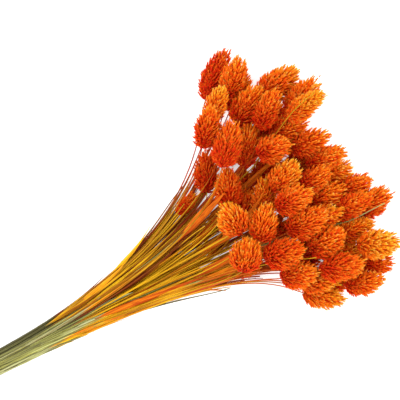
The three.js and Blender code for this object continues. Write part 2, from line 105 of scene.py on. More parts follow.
# The ways of the stems from the tie to the heads. Sideways limits are counted from the tie.
STEM_RADIUS = 0.98
NECK_RADIUS = 0.45
BARE_END_RADIUS = 0.38
STEM_STEP = 6.2
STEM_CLEARANCE = 1.9
STEM_LEAVES_OVER = 0.66
STEM_ARRIVES_OVER = 0.14
STEM_RISES_LAST = 20
LOWEST_ARRIVAL = 2
LOWEST_SIDE = -50
HIGHEST_SIDE = 45
STEM_SLOPE = -0.11
STEM_TAPERS_FROM = 90
STEM_TAPERS_TO = 160
BENDING_SWEEPS = 90
UNSMOOTHED_SWEEPS = 5
BENDING_SHARE = 0.6
WITHIN_REACH = 20
CURVE_DIVISIONS = 200
BALLS_FROM = 0.07
BALLS_OVER = 0.86
HEAD_BALLS = 7

# Leaves that stand out: the pixels of root and tip, the width, the colour from 0, dark brown, by
# way of 0.55, yellow, to 1, brown red, and how far past the tie the dye starts.
SEEN_LEAVES = [
    {"root": (42, 327), "tip": (132, 266), "width": 1.2, "tint": 0.28, "dyed_from": 82},
    {"root": (70, 303), "tip": (128, 262), "width": 1.0, "tint": 0.7, "dyed_from": 80},
    {"root": (86, 306), "tip": (158, 247), "width": 0.8, "tint": 0.5, "dyed_from": 118},
    {"root": (92, 320), "tip": (176, 288), "width": 1.1, "tint": 0.95, "dyed_from": 118},
    {"root": (120, 312), "tip": (204, 276), "width": 0.9, "tint": 1.0, "dyed_from": 110},
    {"root": (104, 272), "tip": (152, 226), "width": 0.9, "tint": 0.6, "dyed_from": 90},
    {"root": (92, 314), "tip": (132, 292), "width": 0.8, "tint": 0.6, "dyed_from": 240},
    {"root": (54, 347), "tip": (92, 331), "width": 0.7, "tint": 0.5, "dyed_from": 84},
    {"root": (112, 300), "tip": (172, 254), "width": 1.2, "tint": 0.0, "dyed_from": 90},
]

# Bare straws that end between or past the heads: the pixel where each ends, its height, its colour
# and how far past the tie the dye starts.
BARE_STRAWS = [
    {"end": (312, 95), "height": 70, "tint": 0.3, "dyed_from": 250},
    {"end": (384, 203), "height": 46, "tint": 0.42, "dyed_from": 420},
    {"end": (315, 257), "height": 58, "tint": 0.4, "dyed_from": 220},
    {"end": (187, 182), "height": 20, "tint": 0.1, "dyed_from": 100},
    {"end": (230, 290), "height": 12, "tint": 0.2, "dyed_from": 420},
    {"end": (205, 226), "height": 38, "tint": 0.5, "dyed_from": 120},
]

# Heads, and the solid middle of each, as shares of its width and length.
WIDEST_AT = 0.42
HEAD_FULLNESS = 0.62
CORE_SHARE = 0.58
CORE_FROM = 0.01
CORE_OVER = 0.86
CORE_OUTLINE_FROM = 0.04
CORE_OUTLINE_OVER = 0.9
CORE_SEGMENTS = 10
CORE_RINGS = 9

# A spikelet is two scales side by side. The shoulder of a scale is drawn in and bent outwards.
SCALE_SIDES = 3
SCALE_RINGS = 3
SCALE_LENGTH = 6.8
SCALE_WIDTH = 1.5
SCALE_DEPTH = 1.2
SCALE_POINT = 0.7
SCALE_CURL = 0.4
SCALE_SHOULDER = (0.7, 0.95)
SHOULDER_CURL = 0.35
SHOULDER_DROP = 0.03
SCALE_SPLAY = math.radians(6)
SCALE_APART = 0.36

# How the spikelets stand on a head, their sizes as shares of those on a full head.
SPIKELET_AREA = 2.6
FULL_HALF_WIDTH = 8.2
SIZE_LIMITS = (0.72, 1.12)
TIPS_BETWEEN = (0.045, 0.995)
TIPS_AT_ENDS = 0.06
LAST_TIP = 0.998
TIPS_PROUD = (-0.2, 3.0)
FEWER_PROUD = 1.5
CROWN_PROUD = 0.13
BASE_TILT = 80
CROWN_TILT = 7
LEAST_TILT = 2
TILT_FALLS_BY = 0.9
HEAD_FLUFF = (-4, 6)
TILT_UNEVENLY = 8
TURN_UNEVENLY = 0.12
TIPS_UNEVENLY = 0.012
ROLL_UNEVENLY = 0.3
REACHES = (0.9, 1.08)
LEAST_REACH = 0.35
ROOT_OFF_AXIS = 0.4
LEAST_SINE = 0.05
GOLDEN_ANGLE = math.pi * (3 - math.sqrt(5))

# How a head takes the dye, from 0, deep red, by way of 1, orange, to 2, yellow. Some values, such as
# head_30's, were read off heads lying in shade, so they hold painted shade as well as dye.
DYES = {
    "head_09": -0.5, "head_13": 0.0, "head_14": 0.0, "head_15": -0.1, "head_19": 0.55, "head_21": 0.7,
    "head_28": 0.2, "head_30": 0.2, "head_33": 0.3, "head_35": 0.3, "head_36": 0.9, "head_37": -0.1,
    "head_38": 0.9, "head_39": 1.1, "head_40": 0.8, "head_41": 0.9, "head_42": 0.2, "head_43": 0.25,
    "head_44": 0.3, "head_45": 1.1, "head_47": 0.75, "head_49": 1.0, "head_52": 0.4, "head_53": 0.45,
    "head_54": 0.15, "head_55": 1.5, "head_56": 0.15,
}
# Heads low in the pile take a deeper red than the front ones: painted shade for the shade they lie in.
HIDDEN_DYE_WITH_PAINTED_SHADE = -0.2
BACK_DYES_WITH_PAINTED_SHADE = (0.0, 0.35)
FRONT_DYE = (0.4, 0.8)
LAST_HIDDEN = "head_08"
LAST_BACK = "head_18"

# Straws, laid along the ways of the stems, each with its knots.
STRAW_SIDES = 6
STRAW_STATIONS = 72
STRAW_INTO_HEAD = 3
FOOT_INSET = 0.4
FOOT_HOLLOW = 0.01
KNOTS = 2
KNOTS_BETWEEN = (0.15, 0.75)
KNOT_SHARE = 1.25

# Leaves dried into rolls, between two stems. Starts and stops are shares of the stems' ways.
ROLL_SIDES = 4
ROLL_STATIONS = 36
ROLLS_BETWEEN = 5
ROLL_PLACES = (-0.05, 1.05)
ROLL_STARTS = (0.0, 0.3)
ROLL_STOPS = (0.7, 0.93)
ROLL_WAY_POINTS = 100
ROLL_DRIFT = 2.5
ROLL_SINKS = 1.2
ROLL_RADII = (0.5, 0.95)
ROLL_TAPER = 0.7
ROLL_END_RADIUS = 0.15

# Leaves: a sheath round the stem, then a blade. Starts and reaches are shares of the stems' ways.
LEAF_MODEL_LENGTH = 100
LEAF_STATIONS = 22
LEAF_ACROSS = 6
LEAF_THICKNESS = 0.25
SHEATH_SHARE = 0.5
SHEATH_OPENS = (0.12, 0.14)
ROOT_SHARE = 0.3
ROOT_WIDTH = 0.12
BLADE_HALF_ANGLE = 0.55
BLADE_LIFT = 1.1
BLADE_NARROWS = 0.93
BLADE_NARROWS_BY = 1.6
BLADE_STANDS_OFF = (1, 10)
LEAF_TURN = 0.6
LEAF_TWIST = 1
OUT_SIDEWAYS = 0.4
OUT_UPWARDS = 6
TIGHT_LEAF = {
    "half_angle": 2.8, "half_width": 3.6, "blade_half_width": 1.7, "lift": 1.28,
    "starts": (0.0, 0.35), "reaches": (0.25, 0.5), "widths": (0.7, 1.0),
}
LOOSE_LEAF = {
    "half_angle": 1.2, "half_width": 2.7, "blade_half_width": 1.9, "lift": 1.6,
    "starts": (0.0, 0.45), "reaches": (0.2, 0.4), "widths": (0.3, 0.7),
}

# Loose leaves low in the bunch, near the heads, round the stems of the middle of the tie.
LOW_LEAF = {"starts": (0.7, 0.76), "reach": 0.24, "widths": (0.9, 1.5), "tints": (0.75, 1.1)}
LOW_LEAF_SLOTS = (-4.5, 3)
LOW_LEAF_DRIFT = 12
LOW_LEAF_SINKS = 2.5

# The colours of straws and leaves, on the scale of the leaves above, and how many are golden.
BROWN_SIDE = 4.5
BROWN_TINTS = (-0.1, 0.28)
GOLDEN_TINTS = (0.25, 0.65)
GOLDEN_SHARE = 0.8
RED_TINTS = (0.7, 1.0)
DARK_ROLL_TINTS = (-0.1, 0.15)
DARK_ROLL_SHARE = 0.35
ROLL_TINTS = (0.2, 0.75)
GRAIN_PER_MM = 0.02
GRAIN_OFFSETS = (0, 50)

# How far past the tie the dye starts, at the middle of the bunch and at its sides, how unevenly,
# how far it takes to come in, and how far on the stems, where they lie under the heads, turn dark red
# with painted shade.
DYED_FROM_MIDDLE = 118
DYED_FROM_SIDES = 84
DYED_UNEVENLY = 16
DYE_RAGGED = 30
DYE_COMES_IN = (8, 20)
PAINTED_SHADE_COMES_IN = (135, 180)

# How far light goes into a scale, and the size of the floor.
LIGHT_DEPTH = 3
FLOOR_RADIUS = 12000


def unit(vectors):
    """The same directions, one unit long."""
    lengths = np.linalg.norm(vectors, axis=-1, keepdims=True)
    return vectors / np.maximum(lengths, 1e-12)


def smooth_step(values, low, high):
    """0 up to low, 1 from high on, and a smooth rise between."""
    share = np.clip((values - low) / (high - low), 0, 1)
    return share * share * (3 - 2 * share)


def floor_point(pixel, height=0):
    """The place over a pixel of the picture, at a height over the floor."""
    across = (pixel[0] - AXIS_PIXEL[0]) * MM_PER_PIXEL
    up = (AXIS_PIXEL[1] - pixel[1]) * MM_PER_PIXEL
    x = across * math.cos(STEMS_LEAN) + up * math.sin(STEMS_LEAN)
    y = -across * math.sin(STEMS_LEAN) + up * math.cos(STEMS_LEAN)
    return PICTURE_ORIGIN + np.array([x, y, height])


# Reading the heads from the frame

def head_outline(share):
    """Half the width of a head at a share of its length, as a share of its widest half."""
    bulge = math.log(0.5) / math.log(WIDEST_AT)
    inside = np.clip(share, 0, 1)
    return np.maximum(np.sin(np.pi * inside**bulge), 0) ** HEAD_FULLNESS


def read_head(node):
    """Base, axis, length and half width of a head, measured on its solid in the frame."""
    mesh = frame["nodes"][node].data
    corners = np.empty(len(mesh.vertices) * 3, np.float32)
    mesh.vertices.foreach_get("co", corners)
    corners = np.unique(corners.reshape(-1, 3), axis=0).astype(float) / MM
    reach = np.linalg.norm(corners[:, None] - corners[None], axis=2)
    first, last = np.unravel_index(reach.argmax(), reach.shape)
    base, tip = corners[first], corners[last]
    length = np.linalg.norm(tip - base)
    axis = (tip - base) / length
    along = (corners - base) @ axis
    spread = np.linalg.norm(corners - base - np.outer(along, axis), axis=1)
    widest = spread.argmax()
    share = along[widest] / length
    if share > 0.5:
        base, axis, share = tip, -axis, 1 - share
    half_width = spread[widest] / head_outline(share)
    return {"node": node, "base": base, "axis": axis, "length": length, "half_width": half_width}


def head_balls(heads):
    """Centres and radii of the balls that fill some heads."""
    shares = BALLS_FROM + BALLS_OVER * np.arange(HEAD_BALLS) / (HEAD_BALLS - 1)
    centres = [h["base"] + np.outer(shares * h["length"], h["axis"]) for h in heads]
    radii = [h["half_width"] * head_outline(shares) for h in heads]
    return np.concatenate(centres), np.concatenate(radii)


# The ways of the stems, by the same rule as the solids

def seeded_stream(seed):
    """Random numbers from 0 to 1, the same on each run."""
    state = seed
    while True:
        state = (state * 1664525 + 1013904223) % 2**32
        yield state / 2**32


def cubic_points(start, leave, arrive, end):
    """Points every STEM_STEP along a cubic curve."""
    def at(shares):
        t = shares[:, None]
        return (
            (1 - t) ** 3 * start + 3 * (1 - t) ** 2 * t * leave
            + 3 * (1 - t) * t**2 * arrive + t**3 * end
        )

    shares = np.linspace(0, 1, CURVE_DIVISIONS + 1)
    steps = np.linalg.norm(np.diff(at(shares), axis=0), axis=1)
    reached = np.concatenate([[0], np.cumsum(steps)])
    count = int(reached[-1] / STEM_STEP + 0.5)
    return at(np.interp(np.linspace(0, reached[-1], count + 1), reached, shares))


def fan_points(slot, end, direction):
    """A smooth way from the tie along the bunch, then to where a stem ends and up from below."""
    start = TIE + np.array([TIE_STRAIGHT, slot[0], slot[1]])
    reach = np.linalg.norm(end - start)
    leave = start + np.array([1, STEM_SLOPE, 0]) * reach * STEM_LEAVES_OVER
    arrive = end - direction * reach * STEM_ARRIVES_OVER
    arrive[1] = min(max(arrive[1], TIE[1] + LOWEST_SIDE), TIE[1] + HIGHEST_SIDE)
    arrive[2] = max(arrive[2] - STEM_RISES_LAST, LOWEST_ARRIVAL)
    return cubic_points(start, leave, arrive, end)


def bend_clear(points, centres, radii):
    """Bends a way clear of the heads, and spreads each bend along it."""
    near = np.linalg.norm(points[:, None] - centres[None], axis=2).min(0) - radii < WITHIN_REACH
    centres, radii = centres[near], radii[near]
    along = unit(points[2:] - points[:-2])
    bend = np.zeros_like(points)
    for sweep in range(BENDING_SWEEPS):
        here = points[1:-1] + bend[1:-1]
        away = here[:, None] - centres[None]
        depth = np.maximum(radii + STEM_CLEARANCE - np.linalg.norm(away, axis=2), 0)
        away -= (away * along[:, None]).sum(2, keepdims=True) * along[:, None]
        push = (unit(away) * depth[..., None]).sum(1)
        push[:, 2] += np.maximum(STEM_RADIUS - here[:, 2], 0)
        bend[1:-1] += push * BENDING_SHARE
        if sweep < BENDING_SWEEPS - UNSMOOTHED_SWEEPS:
            bend[1:-1] = (bend[1:-1] + (bend[:-2] + bend[2:]) / 2) / 2
    return points + bend


def tie_rows(stem_count):
    """Rows of places for the stems in the tie, each (sideways, up) from its middle."""
    heights = [((2 * row + 1) / TIE_ROWS - 1) * TIE_HALF_HEIGHT for row in range(TIE_ROWS)]
    widths = [TIE_HALF_WIDTH * math.sqrt(1 - (height / TIE_HALF_HEIGHT) ** 2) for height in heights]
    rows, filled = [], 0
    for row, (height, width) in enumerate(zip(heights, widths)):
        reached = sum(widths[: row + 1]) / sum(widths)
        count = int(stem_count * reached + 0.5) - filled
        filled += count
        rows.append([(width * ((2 * place + 1) / count - 1), height) for place in range(count)])
    return rows


def stem_ends(heads):
    """Where each stem ends, in which direction, and how far it leans to the side and upwards."""
    ends = []
    for head in heads:
        others = [other for other in heads if other is not head]
        ends.append({
            "end": head["base"] - head["axis"] * GAP, "direction": head["axis"],
            "others": head_balls(others), "head": head, "bare": None,
        })
    for bare in BARE_STRAWS:
        end = floor_point(bare["end"], bare["height"])
        ends.append({
            "end": end, "direction": unit(end - TIE),
            "others": head_balls(heads), "head": None, "bare": bare,
        })
    for stem in ends:
        way = fan_points((0, 0), stem["end"], stem["direction"])
        half = way[len(way) // 2] - TIE
        stem["lean_sideways"], stem["lean_up"] = half[1] / half[0], half[2] / half[0]
    return ends


def stem_ways(heads):
    """The whole way of each stem, from its cut foot through the tie to its end. Of the two
    random numbers that each stem takes, only the first moves its foot."""
    ends = sorted(stem_ends(heads), key=lambda stem: stem["lean_up"])
    stream = seeded_stream(STEM_SEED)
    ways = []
    for row in tie_rows(len(ends)):
        stems, ends = ends[: len(row)], ends[len(row) :]
        stems.sort(key=lambda stem: stem["lean_sideways"])
        for slot, stem in zip(row, stems):
            sideways, up = slot
            uneven, _ = next(stream), next(stream)
            foot = TIE + np.array([
                -FOOT_FROM_TIE + FOOT_UNEVEN * uneven**2,
                TAIL_DRIFT + sideways * FOOT_HALF_WIDTH / TIE_HALF_WIDTH,
                up * FOOT_HALF_HEIGHT / TIE_HALF_HEIGHT,
            ])
            into = TIE + np.array([-TIE_STRAIGHT, sideways, up])
            fan = bend_clear(fan_points(slot, stem["end"], stem["direction"]), *stem["others"])
            ways.append({
                "points": np.vstack([foot, into, fan]), "fan": fan, "slot": slot,
                "head": stem["head"], "bare": stem["bare"],
            })
    return ways


def resampled(points, count):
    """Evenly spaced points along a way."""
    reached = np.concatenate([[0], np.cumsum(np.linalg.norm(np.diff(points, axis=0), axis=1))])
    wanted = np.linspace(0, reached[-1], count)
    return np.stack([np.interp(wanted, reached, points[:, axis]) for axis in range(3)], axis=1)


# Modelling by hand, one of each thing that repeats

def start_clean():
    """Leaves edit mode and deselects everything."""
    if bpy.context.object and bpy.context.object.mode == "EDIT":
        bpy.ops.object.mode_set(mode="OBJECT")
    for other in bpy.context.view_layer.objects:
        other.select_set(False)


def pick(keeps):
    """Selects the corners of the mesh being edited whose place passes the test."""
    data = bpy.context.object.data
    corners = bmesh.from_edit_mesh(data)
    for edge in corners.edges:
        edge.select_set(False)
    for corner in corners.verts:
        corner.select_set(keeps(corner.co))
    corners.select_flush(True)
    bmesh.update_edit_mesh(data)


def take_shape(model):
    """Corners and faces of a modelled piece, which then goes away."""
    corners = np.array([corner.co[:] for corner in model.data.vertices])
    faces = [list(face.vertices) for face in model.data.polygons]
    bpy.data.objects.remove(model)
    return corners, faces


def model_spikelet():
    """A spikelet along +Z from its root at the origin, its outer side towards +Y."""
    start_clean()
    bpy.ops.mesh.primitive_uv_sphere_add(
        segments=SCALE_SIDES, ring_count=SCALE_RINGS, radius=0.5, location=(0, 0, 0)
    )
    scale = bpy.context.object
    bpy.ops.object.mode_set(mode="EDIT")
    bpy.ops.transform.translate(value=(0, 0, 0.5))
    bpy.ops.transform.resize(value=(SCALE_WIDTH, SCALE_DEPTH, SCALE_LENGTH), center_override=(0, 0, 0))
    shoulder_low, shoulder_high = (share * SCALE_LENGTH for share in SCALE_SHOULDER)
    pick(lambda co: shoulder_low < co.z < shoulder_high)
    bpy.ops.transform.resize(value=(SCALE_POINT, SCALE_POINT, 1), center_override=(0, 0, 0))
    bpy.ops.transform.translate(value=(0, SCALE_CURL * SHOULDER_CURL, -SHOULDER_DROP * SCALE_LENGTH))
    pick(lambda co: co.z > shoulder_high)
    bpy.ops.transform.translate(value=(0, SCALE_CURL, 0))
    pick(lambda co: True)
    bpy.ops.transform.rotate(value=SCALE_SPLAY, orient_axis="Y", center_override=(0, 0, 0))
    bpy.ops.transform.translate(value=(SCALE_APART, 0, 0))
    bpy.ops.mesh.duplicate_move()
    bpy.ops.transform.rotate(value=math.pi, orient_axis="Z", center_override=(0, 0, 0))
    bpy.ops.object.mode_set(mode="OBJECT")
    return take_shape(scale)


def model_straw(sides, stations):
    """A straight straw along +X, one unit long and one in radius, with a hollow cut foot."""
    start_clean()
    bpy.ops.mesh.primitive_circle_add(vertices=sides, radius=1, location=(0, 0, 0))
    straw = bpy.context.object
    bpy.ops.object.mode_set(mode="EDIT")
    bpy.ops.mesh.select_all(action="SELECT")
    bpy.ops.transform.rotate(value=math.pi / 2, orient_axis="Y", center_override=(0, 0, 0))
    for _ in range(stations):
        bpy.ops.mesh.extrude_region_move(TRANSFORM_OT_translate={"value": (1 / stations, 0, 0)})
    bpy.ops.mesh.edge_face_add()
    pick(lambda co: co.x < 0.001)
    bpy.ops.mesh.edge_face_add()
    bpy.ops.mesh.inset(thickness=FOOT_INSET)
    bpy.ops.mesh.extrude_region_move(TRANSFORM_OT_translate={"value": (FOOT_HOLLOW, 0, 0)})
    bpy.ops.mesh.select_all(action="SELECT")
    bpy.ops.mesh.normals_make_consistent(inside=False)
    bpy.ops.object.mode_set(mode="OBJECT")
    return take_shape(straw)


def model_leaf(kind):
    """A straight leaf along +X, one unit long: a sheath round the axis that opens into a blade."""
    start_clean()
    bpy.ops.mesh.primitive_grid_add(x_subdivisions=LEAF_STATIONS, y_subdivisions=LEAF_ACROSS, size=1)
    leaf = bpy.context.object
    for corner in leaf.data.vertices:
        share = corner.co.x + 0.5
        across = corner.co.y * 2
        opened = float(smooth_step(share, SHEATH_SHARE - SHEATH_OPENS[0], SHEATH_SHARE + SHEATH_OPENS[1]))
        narrowed = max(share - SHEATH_SHARE, 0) / (1 - SHEATH_SHARE)
        rounded = ROOT_WIDTH + (1 - ROOT_WIDTH) * float(smooth_step(share, 0, ROOT_SHARE))
        half_angle = kind["half_angle"] + (BLADE_HALF_ANGLE - kind["half_angle"]) * opened
        half_width = kind["half_width"] + (kind["blade_half_width"] - kind["half_width"]) * opened
        radius = half_width * (1 - BLADE_NARROWS * narrowed**BLADE_NARROWS_BY) * rounded / half_angle
        angle = across * half_angle
        sag = radius * (1 - math.cos(angle))
        lift = kind["lift"] + (BLADE_LIFT - kind["lift"]) * opened
        corner.co = (share * LEAF_MODEL_LENGTH, radius * math.sin(angle), lift - sag)
    wall = leaf.modifiers.new("wall", "SOLIDIFY")
    wall.thickness = LEAF_THICKNESS
    wall.offset = 0
    bpy.ops.object.modifier_apply(modifier=wall.name)
    corners, faces = take_shape(leaf)
    return corners * (1 / LEAF_MODEL_LENGTH, 1, 1), faces


# Laying copies along ways

def outward_frames(points):
    """Along, side and out directions at each point of a way, out from the bunch and upwards."""
    along = unit(np.gradient(points, axis=0))
    out = (points - TIE) * (0, OUT_SIDEWAYS, 1) + (0, 0, OUT_UPWARDS)
    out = unit(out - (out * along).sum(1, keepdims=True) * along)
    return along, np.cross(out, along), out


def carried_frames(points, turn):
    """The same directions, carried along the way without twisting."""
    along = unit(np.gradient(points, axis=0))
    out = np.empty_like(points)
    last = np.array([0, math.sin(turn), math.cos(turn)])
    for step, direction in enumerate(along):
        last = unit(last - (last @ direction) * direction)
        out[step] = last
    return along, np.cross(out, along), out


def lay(shape, points, frames, radii):
    """A straight unit-long shape, bent along a way. radii scales it sideways at each point."""
    corners, _ = shape
    places = np.clip(corners[:, 0], 0, 1) * (len(points) - 1)
    steps = np.arange(len(points))

    def between(values):
        return np.stack([np.interp(places, steps, values[:, axis]) for axis in range(3)], axis=1)

    wide = np.interp(places, steps, radii)[:, None]
    _, side, out = frames
    sideways = between(side) * corners[:, 1:2] * wide
    outwards = between(out) * corners[:, 2:3] * wide
    return between(points) + sideways + outwards


class Batch:
    """Copies of shapes gathered into one mesh, with numbers kept at each corner."""

    def __init__(self):
        self.corners = []
        self.faces = []
        self.numbers = {}
        self.count = 0

    def add(self, corners, faces, **numbers):
        """One more copy, with a number or a list of numbers for its corners under each name."""
        self.corners.append(corners)
        self.faces.extend([corner + self.count for corner in face] for face in faces)
        self.count += len(corners)
        for name, values in numbers.items():
            spread = (len(corners),) + np.shape(values)[1:]
            self.numbers.setdefault(name, []).append(np.broadcast_to(np.asarray(values, float), spread))

    def finish(self, name, material):
        """The object of all that was gathered, in metres, pressed flat where it meets the floor."""
        corners = np.concatenate(self.corners)
        low = corners[:, 2] < PRESSED_UNDER
        corners[low, 2] = PRESSED_UNDER * np.exp(corners[low, 2] / PRESSED_UNDER - 1)
        mesh = bpy.data.meshes.new(name)
        mesh.from_pydata(corners * MM, [], self.faces)
        mesh.polygons.foreach_set("use_smooth", [True] * len(mesh.polygons))
        for key, parts in self.numbers.items():
            values = np.concatenate(parts).astype(np.float32)
            kind, field = ("FLOAT_VECTOR", "vector") if values.ndim == 2 else ("FLOAT", "value")
            mesh.attributes.new(key, kind, "POINT").data.foreach_set(field, values.ravel())
        mesh.materials.append(material)
        mesh.update()
        piece = bpy.data.objects.new(name, mesh)
        bpy.context.scene.collection.objects.link(piece)
        return piece


def place(piece, slot, *nodes):
    """Joins a finished piece to the frame."""
    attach(piece, "root")
    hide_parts(*nodes)


# Seed heads

def tip_places(count):
    """Shares of the length at which the tips of the spikelets lie, evenly over the surface."""
    shares = np.linspace(*TIPS_BETWEEN, 200)
    area = np.cumsum(head_outline(shares) + TIPS_AT_ENDS)
    return np.interp((np.arange(count) + 0.5) / count, area / area[-1], shares)


def core_shape(head):
    """The solid middle of a head, a body of revolution inside its spikelets."""
    start_clean()
    bpy.ops.mesh.primitive_uv_sphere_add(
        segments=CORE_SEGMENTS, ring_count=CORE_RINGS, radius=1, location=(0, 0, 0)
    )
    corners, faces = take_shape(bpy.context.object)
    shares = 0.5 + corners[:, 2] * 0.5
    flat = np.linalg.norm(corners[:, :2], axis=1)
    outline = head_outline(CORE_OUTLINE_FROM + CORE_OUTLINE_OVER * shares)
    wide = np.where(flat < 1e-4, 0, CORE_SHARE * head["half_width"] * outline)
    corners[:, :2] *= (wide / np.maximum(flat, 1e-4))[:, None]
    corners[:, 2] = (CORE_FROM + CORE_OVER * shares) * head["length"]
    return corners, faces


def head_directions(head):
    """The head's axis and two directions square to it."""
    axis = head["axis"]
    side = unit(np.cross(axis, [0, 0, 1]))
    return axis, side, np.cross(side, axis)


def head_dye_with_painted_shade(node, rng):
    """How a head takes the dye, with painted shade: the ones low in the pile are given the deepest red.
    """
    if node in DYES:
        return DYES[node]
    if node <= LAST_HIDDEN:
        return HIDDEN_DYE_WITH_PAINTED_SHADE
    return rng.uniform(*(BACK_DYES_WITH_PAINTED_SHADE if node <= LAST_BACK else FRONT_DYE))


def seed_head(head, spikelet, material, rng):
    """A head covered by spikelets, whose tips lie on the outline of its solid."""
    axis, side, up = head_directions(head)
    length, half = head["length"], head["half_width"]
    mean_round = 2 * math.pi * half * head_outline(np.linspace(0, 1, 50)).mean()
    size = min(max(half / FULL_HALF_WIDTH, SIZE_LIMITS[0]), SIZE_LIMITS[1])
    count = int(mean_round * length / (SPIKELET_AREA * size**2))
    shape, faces = spikelet
    batch = Batch()
    core, core_faces = core_shape(head)
    core = head["base"] + core @ np.array([side, up, axis])
    # The dye number carries painted shade too: heads low in the pile are given a deeper red.
    dye = head_dye_with_painted_shade(head["node"], rng)
    # The solid middle takes the darkest colour, that of the scales' roots: painted shade where it shows
    # between the spikelets.
    batch.add(core, core_faces, along=0.0, across=0.0, tone=0.5, height=0.5, dye=dye)
    turn = rng.random() * 2 * math.pi
    fluff = rng.uniform(*HEAD_FLUFF)
    for index, share in enumerate(tip_places(count)):
        angle = turn + index * GOLDEN_ANGLE + rng.uniform(-TURN_UNEVENLY, TURN_UNEVENLY)
        share = min(share + rng.uniform(-TIPS_UNEVENLY, TIPS_UNEVENLY), LAST_TIP)
        proud = TIPS_PROUD[0] + (TIPS_PROUD[1] - TIPS_PROUD[0]) * rng.random() ** FEWER_PROUD
        radius = half * head_outline(share) + size * proud
        tilt = BASE_TILT + (CROWN_TILT - BASE_TILT) * share**TILT_FALLS_BY
        tilt += fluff + rng.uniform(-TILT_UNEVENLY, TILT_UNEVENLY)
        tilt = math.radians(max(tilt, LEAST_TILT))
        outwards = side * math.cos(angle) + up * math.sin(angle)
        round_way = np.cross(axis, outwards)
        direction = axis * math.cos(tilt) + outwards * math.sin(tilt)
        face_out = -axis * math.sin(tilt) + outwards * math.cos(tilt)
        roll = rng.uniform(-ROLL_UNEVENLY, ROLL_UNEVENLY)
        across_way = round_way * math.cos(roll) + face_out * math.sin(roll)
        face_out = np.cross(direction, -across_way)
        reach = SCALE_LENGTH * size * rng.uniform(*REACHES)
        room = (radius - ROOT_OFF_AXIS) / max(math.sin(tilt), LEAST_SINE)
        reach = min(reach, max(room, LEAST_REACH * reach))
        forward = share + CROWN_PROUD * share**3 * rng.random()
        root = head["base"] + axis * (forward * length) + outwards * radius - direction * reach
        stretch = np.array([size, size, reach / SCALE_LENGTH])
        corners = root + (shape * stretch) @ np.array([across_way, face_out, direction])
        batch.add(
            corners, faces,
            along=shape[:, 2] / SCALE_LENGTH,
            across=shape[:, 0] / SCALE_WIDTH,
            tone=rng.random(),
            height=share,
            dye=dye,
        )
    return batch.finish("seed_" + head["node"], material)


# Straws and leaves

def straw_radii(points, is_bare):
    """The thickness of a straw along its way."""
    tapers_to = max(points[-1, 0], PICTURE_ORIGIN[0] + STEM_TAPERS_TO)
    share = smooth_step(points[:, 0], PICTURE_ORIGIN[0] + STEM_TAPERS_FROM, tapers_to)
    end = BARE_END_RADIUS if is_bare else NECK_RADIUS
    return STEM_RADIUS + (end - STEM_RADIUS) * share


def grain_of(corners, points, offset):
    """A pattern place at each corner that runs along the piece and round it."""
    span = np.linalg.norm(np.diff(points, axis=0), axis=1).sum()
    lengthwise = corners[:, 0] * span * GRAIN_PER_MM + offset
    return np.stack([lengthwise, corners[:, 1], corners[:, 2]], axis=1)


def dye_line(slot, rng):
    """How far along the bunch the dye starts on a straw, in millimetres from the middle."""
    sideways = abs(slot[0]) / TIE_HALF_WIDTH
    start = DYED_FROM_MIDDLE + (DYED_FROM_SIDES - DYED_FROM_MIDDLE) * sideways
    return TIE[0] + start + rng.uniform(-DYED_UNEVENLY, DYED_UNEVENLY)


def straw_tint(slot, rng):
    """The colour of a straw or leaf. Those along the upper side are the brownest."""
    if slot[0] > BROWN_SIDE:
        return rng.uniform(*BROWN_TINTS)
    return rng.uniform(*(GOLDEN_TINTS if rng.random() < GOLDEN_SHARE else RED_TINTS))


def add_straw(batch, shape, points, radii, tint, dyed_from, rng):
    """One straw or rolled leaf along its way, turned by chance."""
    frames = carried_frames(points, rng.uniform(0, math.pi))
    batch.add(
        lay(shape, points, frames, radii), shape[1],
        grain=grain_of(shape[0], points, rng.uniform(*GRAIN_OFFSETS)),
        tint=tint,
        dye_line=dyed_from,
    )


def add_rolls(batch, ways, rng):
    """Narrow leaves dried into rolls, each between two stems that lie side by side."""
    shape = model_straw(ROLL_SIDES, ROLL_STATIONS)
    for first, second in zip(ways, ways[1:]):
        if first["slot"][1] != second["slot"][1]:
            continue
        one, other = (resampled(way["fan"], ROLL_WAY_POINTS) for way in (first, second))
        for _ in range(ROLLS_BETWEEN):
            share = rng.uniform(*ROLL_PLACES)
            start, stop = rng.uniform(*ROLL_STARTS), rng.uniform(*ROLL_STOPS)
            mixed = one * (1 - share) + other * share
            span = mixed[int(start * ROLL_WAY_POINTS) : int(stop * ROLL_WAY_POINTS)]
            points = resampled(span, ROLL_STATIONS + 1)
            shares = np.linspace(0, 1, len(points))
            points[:, 1] += rng.uniform(-ROLL_DRIFT, ROLL_DRIFT) * shares**2
            points[:, 2] = np.maximum(points[:, 2] - ROLL_SINKS, STEM_RADIUS)
            radii = rng.uniform(*ROLL_RADII) * (1 - ROLL_TAPER * shares**2) + ROLL_END_RADIUS
            tint = rng.uniform(*(DARK_ROLL_TINTS if rng.random() < DARK_ROLL_SHARE else ROLL_TINTS))
            add_straw(batch, shape, points, radii, tint, dye_line(first["slot"], rng), rng)


def all_straws(ways, material, rng):
    """Every stem from its cut foot into its head, and the rolled leaves between them."""
    shape = model_straw(STRAW_SIDES, STRAW_STATIONS)
    batch = Batch()
    add_rolls(batch, ways, rng)
    for way in ways:
        points, head, bare = way["points"], way["head"], way["bare"]
        if head:
            points = np.vstack([points, head["base"] + head["axis"] * STRAW_INTO_HEAD])
        points = resampled(points, STRAW_STATIONS + 1)
        radii = straw_radii(points, bare)
        for _ in range(KNOTS):
            radii[int(rng.uniform(*KNOTS_BETWEEN) * STRAW_STATIONS)] *= KNOT_SHARE
        tint = bare["tint"] if bare else straw_tint(way["slot"], rng)
        dyed_from = TIE[0] + bare["dyed_from"] if bare else dye_line(way["slot"], rng)
        add_straw(batch, shape, points, radii, tint, dyed_from, rng)
    return batch.finish("straw_stems", material)


